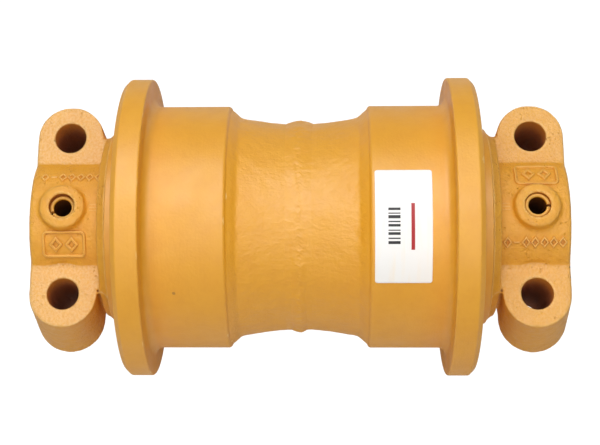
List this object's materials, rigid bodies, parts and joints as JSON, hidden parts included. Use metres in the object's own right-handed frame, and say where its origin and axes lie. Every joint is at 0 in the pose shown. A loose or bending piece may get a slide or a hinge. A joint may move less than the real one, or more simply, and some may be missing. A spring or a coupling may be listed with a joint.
{
  "type": "track roller",
  "caption": "Double-flanged bottom roller for a crawler excavator track frame, turning on a fixed sealed axle held by bolted end collars.",
  "frame": {"origin": "middle of the axle, on the spin axis, halfway between the two collar end faces", "axes": "+Y along the spin axis, +Z square to the bolt faces towards the track frame, +X across the roller in the track's running direction"},
  "size_m": [0.19, 0.3496, 0.19],
  "materials": {
    "yellow_paint": "semi-gloss yellow-orange enamel over machined and forged steel",
    "painted_weld": "the same enamel over a rippled weld",
    "painted_casting": "the same enamel over a pitted cast skin, with small chips",
    "painted_pin": "enamel sprayed over a rolled spring-steel pin, bare steel below the paint line",
    "bearing_bronze": "bored bearing bronze with a film of oil",
    "ground_steel": "induction-hardened and ground steel",
    "seal_iron": "lapped white iron with a turned back",
    "seal_rubber": "matt black nitrile rubber",
    "plug_steel": "blackened steel socket plug",
    "copper_washer": "annealed copper washer",
    "label_film": null
  },
  "bodies": {
    "axle_assembly": {"axle_shaft": "ground_steel", "collar_left": "painted_casting", "collar_right": "painted_casting", "lock_pin_left": "painted_pin", "lock_pin_right": "painted_pin", "seal_ring_fixed_left": "seal_iron", "seal_ring_fixed_right": "seal_iron", "seal_toric_fixed_left": "seal_rubber", "seal_toric_fixed_right": "seal_rubber", "shaft_o_ring_left": "seal_rubber", "shaft_o_ring_right": "seal_rubber", "oil_plug": "plug_steel", "oil_plug_washer": "copper_washer"},
    "roller": {"roller_shell_left": "yellow_paint", "roller_shell_right": "yellow_paint", "weld_bead": "painted_weld", "bushing_left": "bearing_bronze", "bushing_right": "bearing_bronze", "seal_ring_rotating_left": "seal_iron", "seal_ring_rotating_right": "seal_iron", "seal_toric_rotating_left": "seal_rubber", "seal_toric_rotating_right": "seal_rubber", "tread_label": "label_film"}
  },
  "joints": [
    {"name": "roller_spin", "type": "hinge", "parent": "axle_assembly", "child": "roller", "pos_m": [0, 0, 0], "axis": [0, 1, 0], "continuous": true}
  ]
}
